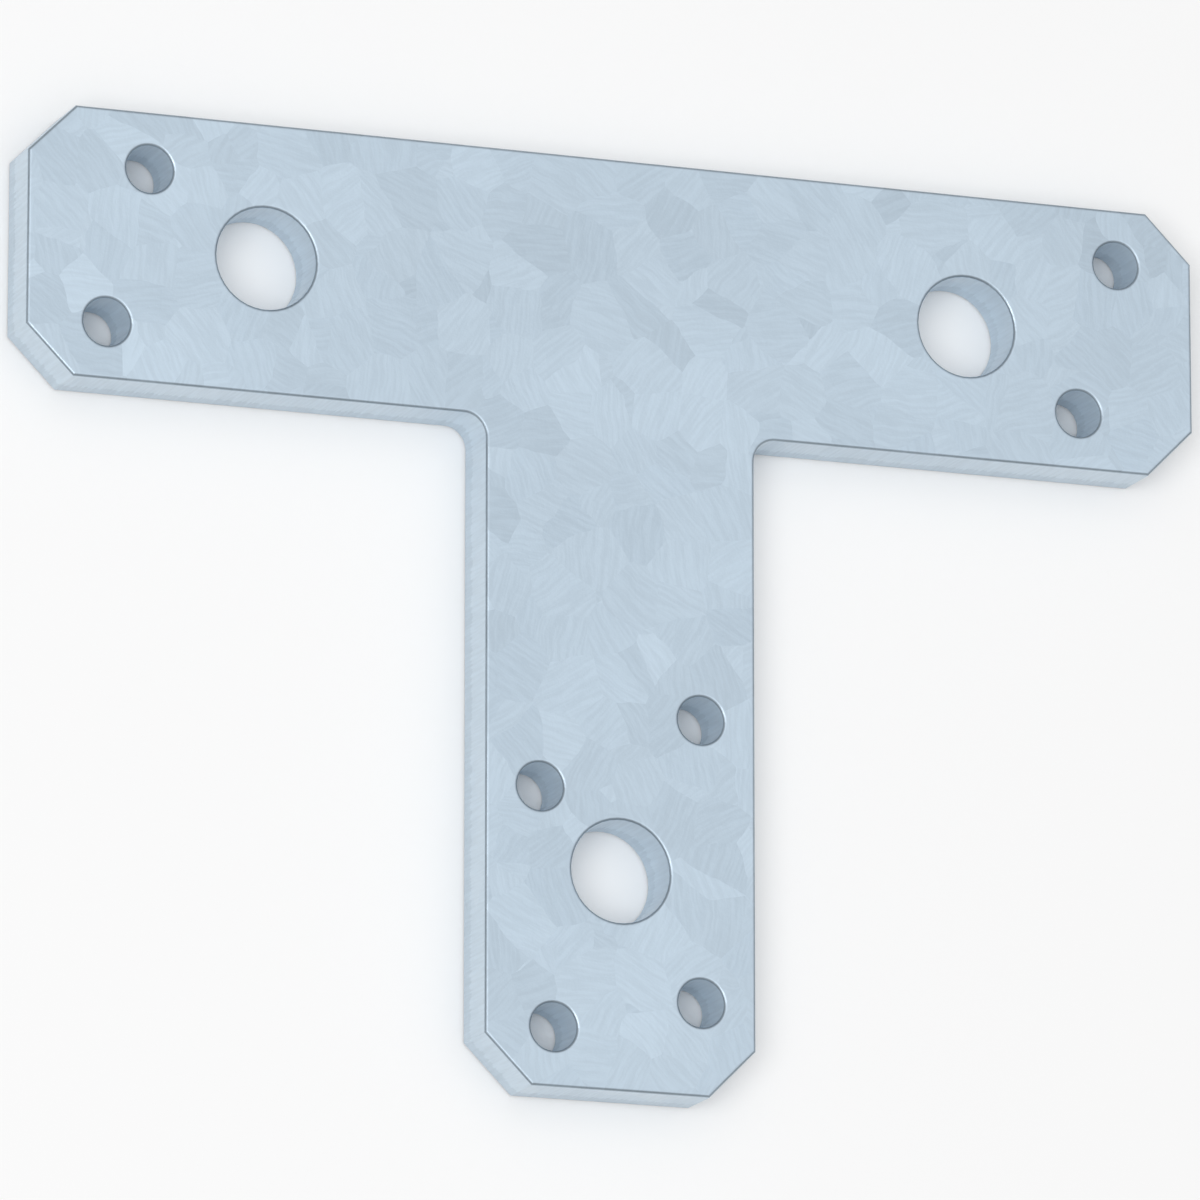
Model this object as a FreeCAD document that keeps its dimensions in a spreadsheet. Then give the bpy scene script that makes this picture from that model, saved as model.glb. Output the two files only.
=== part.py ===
import FreeCAD, Part

import math
import os

import Sketcher

# T plate bracket.
# A flat steel plate in the shape of a T, made in one piece. It is laid over the joint of a
# beam and a post and fixed through three bolt holes and eight staggered nail holes.
#
# Frame, in millimetres: the plate lies on its back face. +X runs along the bar, the stem
# points to -Y and +Z leaves the front face. The origin is where the centre lines of the bar
# and of the stem cross, on the back face.

NODE = "t_plate"

# Every driving size: the name of its cell, its value in millimetres and what it measures.
SIZES = [
    ("bar_length", 172.0, "the bar, from end to end"),
    ("bar_width", 38.0, "the bar, from side to side"),
    ("stem_width", 39.5, "the stem, from side to side"),
    ("plate_height", 131.0, "from the bar's outer side to the end of the stem"),
    ("thickness", 8.7, "the plate, from the back face to the front face"),
    ("corner_clip", 6.8, "what a clipped corner takes off each of its two sides"),
    ("inner_radius", 3.2, "the two inside corners, where the stem meets the bar"),
    ("rim_round", 0.5, "the softened rims of the outline and of the holes, on both faces"),
    ("bolt_hole", 14.3, "diameter of the three bolt holes"),
    ("arm_bolt_inset", 34.3, "from an arm's end to its bolt hole"),
    ("stem_bolt_inset", 30.5, "from the stem's end to its bolt hole"),
    ("nail_hole", 6.6, "diameter of the eight nail holes"),
    ("nail_side_inset", 8.0, "from a side of the bar or the stem to the other nail holes along it"),
    ("arm_outer_nail_inset", 11.5, "from an arm's end to its outer nail hole"),
    ("arm_inner_nail_inset", 17.4, "from an arm's end to its inner nail hole"),
    ("low_left_nail_inset", 8.3, "from the stem's end to its lowest nail hole, on the left"),
    ("low_left_side_inset", 10.0, "from the stem's left side to its lowest nail hole"),
    ("low_right_nail_inset", 13.0, "from the stem's end to its lower nail hole on the right"),
    ("high_left_nail_rise", 11.0, "from the stem's bolt hole up to the nail hole on the left"),
    ("high_right_nail_rise", 22.0, "from the stem's bolt hole up to the nail hole on the right"),
]

# Distances from the origin that follow from the sizes, as formulas for the sketches.
BAR_SIDE = "sizes.bar_width / 2"
ARM_BOLT = "sizes.bar_length / 2 - sizes.arm_bolt_inset"
ARM_OUTER_NAIL = "sizes.bar_length / 2 - sizes.arm_outer_nail_inset"
ARM_INNER_NAIL = "sizes.bar_length / 2 - sizes.arm_inner_nail_inset"
BAR_NAIL_LINE = "sizes.bar_width / 2 - sizes.nail_side_inset"
STEM_NAIL_LINE = "sizes.stem_width / 2 - sizes.nail_side_inset"
LOWEST_NAIL_LINE = "sizes.stem_width / 2 - sizes.low_left_side_inset"
STEM_END = "sizes.plate_height - sizes.bar_width / 2"
STEM_BOLT = f"{STEM_END} - sizes.stem_bolt_inset"
LOW_LEFT_NAIL = f"{STEM_END} - sizes.low_left_nail_inset"
LOW_RIGHT_NAIL = f"{STEM_END} - sizes.low_right_nail_inset"
HIGH_LEFT_NAIL = f"{STEM_BOLT} - sizes.high_left_nail_rise"
HIGH_RIGHT_NAIL = f"{STEM_BOLT} - sizes.high_right_nail_rise"

# Which side of the origin a hole lies on.
LEFT, RIGHT, UP, DOWN = -1, 1, 1, -1

# How a sketch numbers its origin, its two axes, and the points of a line or a circle.
ORIGIN = (-1, 1)
X_AXIS, Y_AXIS = range(-1, -3, -1)
START, END, CENTRE = range(1, 4)

FIRST_GUESS = 10.0  # a sketch's sizes and places before the sheet's values reach them
TOUCH = 1e-4  # how near two coordinates lie when they are the same place
CUT_MATCH = 1e-3  # how near a cut's volume comes to the one worked out, as a share of it


def make_sheet(doc):
    """The spreadsheet of driving sizes, one row each: name, value, meaning."""
    sheet = doc.addObject("Spreadsheet::Sheet", "sizes")
    for row, (alias, value, meaning) in enumerate(SIZES, 1):
        sheet.set(f"A{row}", alias)
        sheet.set(f"B{row}", str(value))
        sheet.setAlias(f"B{row}", alias)
        sheet.set(f"C{row}", meaning)
    doc.recompute()
    return sheet


def new_sketch(body, name, height=None):
    """A sketch on the body's XY plane, or lifted off it by the formula height."""
    sketch = body.newObject("Sketcher::SketchObject", name)
    plane = next(f for f in body.Origin.OriginFeatures if f.Role == "XY_Plane")
    sketch.AttachmentSupport = [(plane, "")]
    sketch.MapMode = "FlatFace"
    if height:
        sketch.setExpression("AttachmentOffset.Base.z", height)
    return sketch


def constrain(sketch, kind, *geometry):
    """Adds a constraint that has no size."""
    return sketch.addConstraint(Sketcher.Constraint(kind, *geometry))


def dimension(sketch, name, formula, kind, *geometry):
    """Adds a constraint whose size is read from the sheet by a formula."""
    index = sketch.addConstraint(Sketcher.Constraint(kind, *geometry, FIRST_GUESS))
    sketch.renameConstraint(index, name)
    sketch.setExpression(f"Constraints.{name}", formula)


def draw_outline(body, size):
    """The T with sharp corners, drawn anticlockwise from the left corner of the stem's end."""
    sketch = new_sketch(body, "outline")
    stem_x, end_x = size["stem_width"] / 2, size["bar_length"] / 2
    bar_y = size["bar_width"] / 2
    stem_y = bar_y - size["plate_height"]
    right_half = [(stem_x, stem_y), (stem_x, -bar_y), (end_x, -bar_y), (end_x, bar_y)]
    left_half = [(-x, y) for x, y in reversed(right_half)]
    corners = [FreeCAD.Vector(x, y, 0) for x, y in left_half[-1:] + right_half + left_half[:-1]]
    lines = [
        sketch.addGeometry(Part.LineSegment(start, end), False)
        for start, end in zip(corners, corners[1:] + corners[:1])
    ]
    stem_end, stem_right, under_right, right_end, top, left_end, under_left, stem_left = lines
    for line, following in zip(lines, lines[1:] + lines[:1]):
        constrain(sketch, "Coincident", line, END, following, START)
    for line in (stem_right, right_end, left_end, stem_left):
        constrain(sketch, "Vertical", line)
    for line in (under_right, under_left):
        constrain(sketch, "Horizontal", line)
    for line in (stem_end, top):
        constrain(sketch, "Symmetric", line, START, line, END, Y_AXIS)
    constrain(sketch, "Equal", left_end, right_end)
    dimension(sketch, "bar_length", "sizes.bar_length", "DistanceX", top, END, top, START)
    dimension(sketch, "bar_side", BAR_SIDE, "DistanceY", *ORIGIN, top, START)
    dimension(sketch, "bar_width", "sizes.bar_width", "DistanceY", right_end, START, right_end, END)
    dimension(sketch, "stem_width", "sizes.stem_width", "DistanceX", stem_end, START, stem_end, END)
    dimension(sketch, "plate_height", "sizes.plate_height", "DistanceY", stem_end, END, top, START)
    return sketch


def draw_circle(sketch, x, y):
    """A circle to be constrained, drawn round a first guess of its centre."""
    centre = FreeCAD.Vector(x, y, 0)
    return sketch.addGeometry(Part.Circle(centre, FreeCAD.Vector(0, 0, 1), 1), False)


def place_circle(sketch, name, x=None, y=None):
    """A circle at x and y, each given as its side of the origin and a formula for how far.

    One that isn't given puts the centre on that axis.
    """
    circle = draw_circle(sketch, *(FIRST_GUESS * given[0] if given else 0 for given in (x, y)))
    for given, kind, axis in ((x, "DistanceX", Y_AXIS), (y, "DistanceY", X_AXIS)):
        if not given:
            constrain(sketch, "PointOnObject", circle, CENTRE, axis)
            continue
        side, formula = given
        ends = [ORIGIN, (circle, CENTRE)][::side]
        dimension(sketch, f"{name}_{kind}", formula, kind, *ends[0], *ends[1])
    return circle


def copy_circle(sketch, circle, *about):
    """A circle opposite another one, about the origin or an axis."""
    centre = sketch.Geometry[circle].Center
    copy = draw_circle(sketch, -centre.x, -centre.y)
    constrain(sketch, "Symmetric", circle, CENTRE, copy, CENTRE, *about)
    return copy


def same_diameter(sketch, circles, formula):
    """Gives every circle of a sketch one diameter."""
    dimension(sketch, "hole_diameter", formula, "Diameter", circles[0])
    for circle in circles[1:]:
        constrain(sketch, "Equal", circles[0], circle)


def draw_bolt_holes(body):
    """One bolt hole on the centre line of each arm and of the stem."""
    sketch = new_sketch(body, "bolt_centres", "sizes.thickness")
    left = place_circle(sketch, "arm", x=(LEFT, ARM_BOLT))
    right = copy_circle(sketch, left, Y_AXIS)
    stem = place_circle(sketch, "stem", y=(DOWN, STEM_BOLT))
    circles = [left, right, stem]
    same_diameter(sketch, circles, "sizes.bolt_hole")
    return sketch, len(circles)


def draw_nail_holes(body):
    """Two staggered nail holes in the end of each arm, and four along the stem.

    The right arm's pair is the left arm's, turned half a turn about the origin. The stem's
    lowest hole lies further in than the others, to leave metal beside the clipped corner.
    """
    sketch = new_sketch(body, "nail_centres", "sizes.thickness")
    inner = place_circle(sketch, "arm_inner", (LEFT, ARM_INNER_NAIL), (UP, BAR_NAIL_LINE))
    outer = place_circle(sketch, "arm_outer", (LEFT, ARM_OUTER_NAIL), (DOWN, BAR_NAIL_LINE))
    circles = [inner, outer]
    circles += [copy_circle(sketch, circle, *ORIGIN) for circle in (inner, outer)]
    for name, side, across, down in (
        ("low_left", LEFT, LOWEST_NAIL_LINE, LOW_LEFT_NAIL),
        ("low_right", RIGHT, STEM_NAIL_LINE, LOW_RIGHT_NAIL),
        ("high_left", LEFT, STEM_NAIL_LINE, HIGH_LEFT_NAIL),
        ("high_right", RIGHT, STEM_NAIL_LINE, HIGH_RIGHT_NAIL),
    ):
        circles.append(place_circle(sketch, name, (side, across), (DOWN, down)))
    same_diameter(sketch, circles, "sizes.nail_hole")
    return sketch, len(circles)


def drill(body, name, drawing, alias, size):
    """Cuts a sketch's circles through the plate, and checks how much metal that took."""
    sketch, count = drawing
    doc = body.Document
    doc.recompute()
    before = body.Tip.Shape.Volume
    hole = body.newObject("PartDesign::Hole", name)
    hole.Profile = sketch
    hole.ThreadType = "None"
    hole.DepthType = "ThroughAll"
    hole.setExpression("Diameter", f"sizes.{alias}")
    doc.recompute()
    expected = count * math.pi * (size[alias] / 2) ** 2 * size["thickness"]
    removed = before - hole.Shape.Volume
    if abs(removed - expected) > CUT_MATCH * expected:
        raise RuntimeError(f"{name} took {removed:.1f} mm3 and not {expected:.1f}")
    return hole


def dress(body, kind, name, base, wanted, dimension_name, alias):
    """Clips or rounds the wanted edges of a feature by one of the sheet's sizes."""
    edges = [f"Edge{i}" for i, edge in enumerate(base.Shape.Edges, 1) if wanted(edge)]
    made = body.newObject(kind, name)
    made.Base = (base, edges)
    made.setExpression(dimension_name, f"sizes.{alias}")
    body.Document.recompute()
    return made


def make_plate(doc, size):
    """The plate: the T's slab, its corners clipped and rounded, its holes, its soft rims."""
    body = doc.addObject("PartDesign::Body", "plate")
    body.Label = NODE
    body.Placement = FreeCAD.Placement()
    slab = body.newObject("PartDesign::Pad", "slab")
    slab.Profile = draw_outline(body, size)
    slab.setExpression("Length", "sizes.thickness")
    doc.recompute()

    def is_corner(edge):
        box = edge.BoundBox
        return box.XLength < TOUCH and box.YLength < TOUCH

    def is_inside_corner(edge):
        box = edge.BoundBox
        beside_stem = abs(abs(box.Center.x) - size["stem_width"] / 2) < TOUCH
        under_bar = abs(box.Center.y + size["bar_width"] / 2) < TOUCH
        return is_corner(edge) and beside_stem and under_bar

    def is_outside_corner(edge):
        return is_corner(edge) and not is_inside_corner(edge)

    def is_rim(edge):
        return edge.BoundBox.ZLength < TOUCH

    clipped = dress(
        body, "PartDesign::Chamfer", "clipped_corners", slab, is_outside_corner, "Size", "corner_clip"
    )
    dress(
        body, "PartDesign::Fillet", "inside_corners", clipped, is_inside_corner, "Radius", "inner_radius"
    )
    drill(body, "bolt_holes", draw_bolt_holes(body), "bolt_hole", size)
    drilled = drill(body, "nail_holes", draw_nail_holes(body), "nail_hole", size)
    dress(body, "PartDesign::Fillet", "soft_rims", drilled, is_rim, "Radius", "rim_round")
    return body


def check(doc, parts):
    """Stops the build if any object failed or any part isn't one sound solid."""
    for item in doc.Objects:
        if "Invalid" in item.State or "Error" in item.State:
            raise RuntimeError(f"{item.Label} failed to build: {item.State}")
    for part in parts:
        if part.Shape.isNull() or not part.Shape.isValid() or len(part.Shape.Solids) != 1:
            raise RuntimeError(f"{part.Label} isn't one sound solid")


def main():
    doc = FreeCAD.newDocument("t_plate_bracket")
    sheet = make_sheet(doc)
    size = {alias: float(sheet.get(alias)) for alias, _, _ in SIZES}
    parts = [make_plate(doc, size)]
    doc.recompute()
    check(doc, parts)
    os.makedirs("parts", exist_ok=True)
    for part in parts:
        part.Shape.exportStep(os.path.join("parts", part.Label + ".step"))
        box = part.Shape.BoundBox
        print(
            f"{part.Label}: {box.XLength:.2f} x {box.YLength:.2f} x {box.ZLength:.2f} mm, "
            f"{part.Shape.Volume:.0f} mm3"
        )


main()
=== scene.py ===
import math

import bpy
from mathutils import Matrix, Vector


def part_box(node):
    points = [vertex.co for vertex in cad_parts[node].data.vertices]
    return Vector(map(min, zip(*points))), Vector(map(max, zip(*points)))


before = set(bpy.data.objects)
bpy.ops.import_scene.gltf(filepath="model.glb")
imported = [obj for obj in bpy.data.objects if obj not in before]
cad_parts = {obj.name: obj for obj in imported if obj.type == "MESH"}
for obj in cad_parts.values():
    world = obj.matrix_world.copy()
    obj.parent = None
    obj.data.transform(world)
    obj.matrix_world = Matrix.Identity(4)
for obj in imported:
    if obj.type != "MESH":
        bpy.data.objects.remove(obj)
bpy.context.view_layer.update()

# The T plate bracket, lying on its back face on a pale floor, in metres.

NODE = "t_plate"
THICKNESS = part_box(NODE)[1].z
MM = 0.001

# The camera. The drawing shows the plate upright, turned to its left and seen from below its
# middle, so the camera holds those angles to the plate and is laid down with it.
QUARTER_TURN = math.radians(90)
DRAWN_TURN = math.radians(-20.86)
DRAWN_RISE = math.radians(-13.21)
VIEW_CENTRE = Vector((-3.1 * MM, -43.8 * MM, THICKNESS))
VIEW_DISTANCE = 1514 * MM
SENSOR = 36.0  # millimetres, as is the lens
LENS = 331.6

# The light: a white sky, brightest overhead, and a soft lamp at the camera's left.
SKY_WHITE = (1.0, 1.0, 1.0, 1.0)
SKY_TOP = 1.2
SKY_EDGE = 0.35
KEY_PLACE = Vector((-1.45, -0.55, 2.45))
KEY_WIDTH = 1.6
KEY_POWER = 25.5

# Colours of the coat on a face and on a cut wall, as linear values.
ZINC = (0.521, 0.624, 0.718)
CUT_ZINC = (0.597, 0.704, 0.796)

# The floor.
FLOOR_REACH = 4.0
FLOOR_WHITE = (0.93, 0.93, 0.93, 1.0)
FLOOR_ROUGHNESS = 0.9
FLOOR_GLOSS = 0.0

# The zinc coat's pattern, in millimetres.
CRYSTAL = 6.5
CRYSTAL_WARP, WARP_REACH = 7.0, 2.4
FEATHER_LENGTH, FEATHER_WIDTH = 5.0, 0.5
CLOUD = 30.0
GRAIN = 0.6
STREAK_WIDTH, STREAK_LENGTH = 0.45, 6.0
BREAK_LEVEL, BREAK_RAGGEDNESS, BREAK_BLEND = 3.0, 0.5, 0.3

# How far the pattern moves the colour each way, and how much it darkens, as shares.
CRYSTAL_TONE, FEATHER_TONE, CLOUD_TONE, STREAK_TONE = 0.07, 0.035, 0.02, 0.04
# The rims are darkened by painted shade, a dark line along each rounded edge.
BREAK_DARKER, RIM_PAINTED_SHADE = 0.07, 0.35

# The roughness, how far the pattern moves it each way, and what a break adds to it.
ROUGHNESS, CRYSTAL_ROUGHNESS, GRAIN_ROUGHNESS = 0.40, 0.07, 0.03
BREAK_ROUGHER = 0.12

# How metallic the coat looks on a face and on a cut wall.
FACE_METAL, WALL_METAL = 0.85, 0.2

# The relief: how far crystals lean, how deep the pattern goes in millimetres, the share of
# that depth which each part of it takes, and how strongly it shows.
CRYSTAL_LEAN = 0.08
RELIEF_DEPTH = 0.05
FEATHER_RELIEF, STREAK_RELIEF, GRAIN_RELIEF = 0.25, 0.5, 0.4
RELIEF_STRENGTH, RIM_RELIEF_STRENGTH = 0.3, 0.1

# The square of the surface normal's height: where a rim ends and a face or a wall begins.
FACE_FROM, FACE_WHOLE = 0.7, 0.97
WALL_FROM, WALL_WHOLE = 0.3, 0.03

# Noise textures: the values that become 0 and 1, and the levels of detail.
NOISE_LOW, NOISE_HIGH = 0.3, 0.7
COARSE, FINE = 2.0, 3.0

# The middle of a vector of random shares, which go from 0 to 1.
MIDDLE = (0.5, 0.5, 0.5)

# Where a Mix node that mixes colours has its share, its two colours and its result.
MIX_SHARE, MIX_FIRST, MIX_SECOND = 0, 6, 7
MIX_RESULT = 2


def new_object(name, data):
    """Links an object with that data to the scene."""
    made = bpy.data.objects.new(name, data)
    bpy.context.scene.collection.objects.link(made)
    return made


class Nodes:
    """Adds nodes to a material's or a world's tree. Each call returns the node's output."""

    def __init__(self, tree):
        self.tree = tree

    def put(self, socket, value):
        """Links a socket to another one, or sets it to a value."""
        if isinstance(value, bpy.types.NodeSocket):
            self.tree.links.new(value, socket)
        else:
            socket.default_value = value

    def add(self, kind, inputs, out=0, **settings):
        """A node with its settings, and its inputs set to values or linked to sockets."""
        node = self.tree.nodes.new(kind)
        for name, value in settings.items():
            setattr(node, name, value)
        for key, value in inputs.items():
            self.put(node.inputs[key], value)
        return node.outputs[out]

    def maths(self, operation, first, *others):
        """Puts two or more numbers together."""
        for other in others:
            first = self.add("ShaderNodeMath", {0: first, 1: other}, operation=operation)
        return first

    def vector(self, operation, first, second):
        """Puts two vectors together."""
        return self.add("ShaderNodeVectorMath", {0: first, 1: second}, operation=operation)

    def scale(self, vector, factor):
        """A vector made longer or shorter."""
        return self.add("ShaderNodeVectorMath", {0: vector, "Scale": factor}, operation="SCALE")

    def centred(self, random, reach):
        """Turns a vector of shares from 0 to 1 into offsets of up to half the reach each way."""
        return self.scale(self.vector("SUBTRACT", random, MIDDLE), reach)

    def height(self, vector):
        """A vector's Z."""
        return self.add("ShaderNodeSeparateXYZ", {0: vector}, out="Z")

    def ramp(self, value, low, high):
        """Rises smoothly from 0 where the value is low to 1 where it is high."""
        spans = {"Value": value, "From Min": low, "From Max": high}
        return self.add("ShaderNodeMapRange", spans, interpolation_type="SMOOTHSTEP")

    def between(self, share, first, second):
        """Goes from the first number to the second as the share goes from 0 to 1."""
        return self.maths("ADD", self.maths("MULTIPLY", share, second - first), first)

    def about(self, share, middle, spread):
        """Turns a share from 0 to 1 into a number about a middle one."""
        return self.between(share, middle - spread, middle + spread)

    def noise(self, place, size, detail):
        """A soft noise from 0 to 1 whose blots are about size across."""
        inputs = {"Vector": place, "Scale": 1 / size, "Detail": detail}
        return self.ramp(self.add("ShaderNodeTexNoise", inputs), NOISE_LOW, NOISE_HIGH)

    def mix(self, share, first, second):
        """A colour between two others."""
        inputs = {MIX_SHARE: share, MIX_FIRST: first, MIX_SECOND: second}
        return self.add("ShaderNodeMix", inputs, out=MIX_RESULT, data_type="RGBA")


def new_material(name):
    """(the material, its nodes, its one shader)."""
    material = bpy.data.materials.new(name)
    material.use_nodes = True
    return material, Nodes(material.node_tree), material.node_tree.nodes["Principled BSDF"]


def crystal_pattern(nodes, place):
    """Zinc crystals: (three random shares for each, the feathered grain within them)."""
    inputs = {"Vector": place, "Scale": 1 / CRYSTAL_WARP}
    warp = nodes.centred(nodes.add("ShaderNodeTexNoise", inputs, out="Color"), WARP_REACH)
    warped = nodes.vector("ADD", place, warp)
    inputs = {"Vector": warped, "Scale": 1 / CRYSTAL}
    random = nodes.add("ShaderNodeTexVoronoi", inputs, out="Color")
    heading = nodes.maths("MULTIPLY", nodes.height(random), math.tau)
    inputs = {"Vector": warped, "Angle": heading}
    turned = nodes.add("ShaderNodeVectorRotate", inputs, rotation_type="Z_AXIS")
    along = (1 / FEATHER_LENGTH, 1 / FEATHER_WIDTH, 1 / FEATHER_LENGTH)
    feathers = nodes.noise(nodes.vector("MULTIPLY", turned, along), 1.0, FINE)
    return random, feathers


def cut_pattern(nodes, place):
    """A cut wall: (its upright streaks, the ragged lower part where the metal broke)."""
    along = (1 / STREAK_WIDTH, 1 / STREAK_WIDTH, 1 / STREAK_LENGTH)
    streaks = nodes.noise(nodes.vector("MULTIPLY", place, along), 1.0, FINE)
    level = nodes.maths("ADD", nodes.height(place), nodes.about(streaks, 0.0, BREAK_RAGGEDNESS))
    broken = nodes.ramp(level, BREAK_LEVEL + BREAK_BLEND, BREAK_LEVEL - BREAK_BLEND)
    return streaks, broken


def surface_masks(nodes):
    """How far the surface is (a face, a cut wall, a rim between the two)."""
    lift = nodes.height(nodes.add("ShaderNodeTexCoord", {}, out="Normal"))
    level = nodes.maths("MULTIPLY", lift, lift)
    face = nodes.ramp(level, FACE_FROM, FACE_WHOLE)
    wall = nodes.ramp(level, WALL_FROM, WALL_WHOLE)
    return face, wall, nodes.maths("SUBTRACT", 1.0, face, wall)


def galvanised_steel():
    """Zinc-coated steel: crystals on the faces, plainer walls where it was cut, rims darkened by
    painted shade.
    """
    material, nodes, shader = new_material("galvanised_steel")
    place = nodes.scale(nodes.add("ShaderNodeTexCoord", {}, out="Object"), 1 / MM)
    face, wall, rim = surface_masks(nodes)
    random, feathers = crystal_pattern(nodes, place)
    streaks, broken = cut_pattern(nodes, place)
    broken = nodes.maths("MULTIPLY", broken, wall)
    clouds = nodes.noise(place, CLOUD, COARSE)
    grain = nodes.noise(place, GRAIN, FINE)
    tone = nodes.add("ShaderNodeSeparateColor", {0: random}, out="Red")
    dullness = nodes.add("ShaderNodeSeparateColor", {0: random}, out="Green")

    face_tone = nodes.maths(
        "MULTIPLY",
        nodes.about(tone, 1.0, CRYSTAL_TONE),
        nodes.about(feathers, 1.0, FEATHER_TONE),
        nodes.about(clouds, 1.0, CLOUD_TONE),
    )
    wall_tone = nodes.maths(
        "MULTIPLY",
        nodes.about(streaks, 1.0, STREAK_TONE),
        nodes.between(broken, 1.0, 1.0 - BREAK_DARKER),
    )
    colour = nodes.mix(wall, nodes.scale(ZINC, face_tone), nodes.scale(CUT_ZINC, wall_tone))
    # Painted shade: the colour is darkened along the rims.
    colour = nodes.scale(colour, nodes.between(rim, 1.0, 1.0 - RIM_PAINTED_SHADE))
    nodes.put(shader.inputs["Base Color"], colour)
    nodes.put(shader.inputs["Metallic"], nodes.between(wall, FACE_METAL, WALL_METAL))

    rough = nodes.maths(
        "ADD",
        nodes.about(dullness, ROUGHNESS, CRYSTAL_ROUGHNESS),
        nodes.about(grain, 0.0, GRAIN_ROUGHNESS),
        nodes.maths("MULTIPLY", broken, BREAK_ROUGHER),
    )
    nodes.put(shader.inputs["Roughness"], rough)

    lean = nodes.scale(nodes.centred(random, CRYSTAL_LEAN), face)
    facing = nodes.add("ShaderNodeNewGeometry", {}, out="Normal")
    relief = nodes.maths(
        "ADD",
        nodes.maths("MULTIPLY", feathers, face, FEATHER_RELIEF),
        nodes.maths("MULTIPLY", streaks, wall, STREAK_RELIEF),
        nodes.maths("MULTIPLY", grain, GRAIN_RELIEF),
    )
    inputs = {
        "Height": relief,
        "Normal": nodes.vector("ADD", facing, lean),
        "Strength": nodes.between(rim, RELIEF_STRENGTH, RIM_RELIEF_STRENGTH),
        "Distance": RELIEF_DEPTH * MM,
    }
    nodes.put(shader.inputs["Normal"], nodes.add("ShaderNodeBump", inputs))
    return material


def make_floor():
    """The plain pale floor."""
    mesh = bpy.data.meshes.new("floor")
    signs = ((-1, -1), (1, -1), (1, 1), (-1, 1))
    corners = [(x * FLOOR_REACH, y * FLOOR_REACH, 0) for x, y in signs]
    mesh.from_pydata(corners, [], [range(len(corners))])
    material, _, shader = new_material("floor")
    shader.inputs["Base Color"].default_value = FLOOR_WHITE
    shader.inputs["Roughness"].default_value = FLOOR_ROUGHNESS
    shader.inputs["Specular IOR Level"].default_value = FLOOR_GLOSS
    mesh.materials.append(material)
    new_object("floor", mesh)


def make_camera():
    """The camera at the drawing's angle."""
    data = bpy.data.cameras.new("camera")
    data.sensor_width = SENSOR
    data.lens = LENS
    camera = new_object("camera", data)
    turn = (
        Matrix.Rotation(-QUARTER_TURN, 4, "X")
        @ Matrix.Rotation(DRAWN_TURN, 4, "Z")
        @ Matrix.Rotation(QUARTER_TURN - DRAWN_RISE, 4, "X")
    )
    back = turn.col[2].to_3d()
    camera.matrix_world = Matrix.Translation(VIEW_CENTRE + back * VIEW_DISTANCE) @ turn
    bpy.context.scene.camera = camera


def make_lights():
    """A white sky that dims towards the horizon, and one large soft lamp."""
    world = bpy.data.worlds.new("sky")
    bpy.context.scene.world = world
    world.use_nodes = True
    nodes = Nodes(world.node_tree)
    height = nodes.height(nodes.add("ShaderNodeTexCoord", {}, out="Generated"))
    share = nodes.maths("MULTIPLY", height, height)
    background = world.node_tree.nodes["Background"]
    background.inputs["Color"].default_value = SKY_WHITE
    nodes.put(background.inputs["Strength"], nodes.between(share, SKY_EDGE, SKY_TOP))

    data = bpy.data.lights.new("key", "AREA")
    data.shape = "DISK"
    data.size = KEY_WIDTH
    data.energy = KEY_POWER
    lamp = new_object("key", data)
    lamp.visible_camera = False
    lamp.location = KEY_PLACE
    lamp.rotation_mode = "QUATERNION"
    lamp.rotation_quaternion = (VIEW_CENTRE - KEY_PLACE).to_track_quat("-Z", "Y")


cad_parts[NODE].material_slots[0].material = galvanised_steel()
make_floor()
make_camera()
make_lights()
bpy.context.scene.view_settings.view_transform = "Standard"
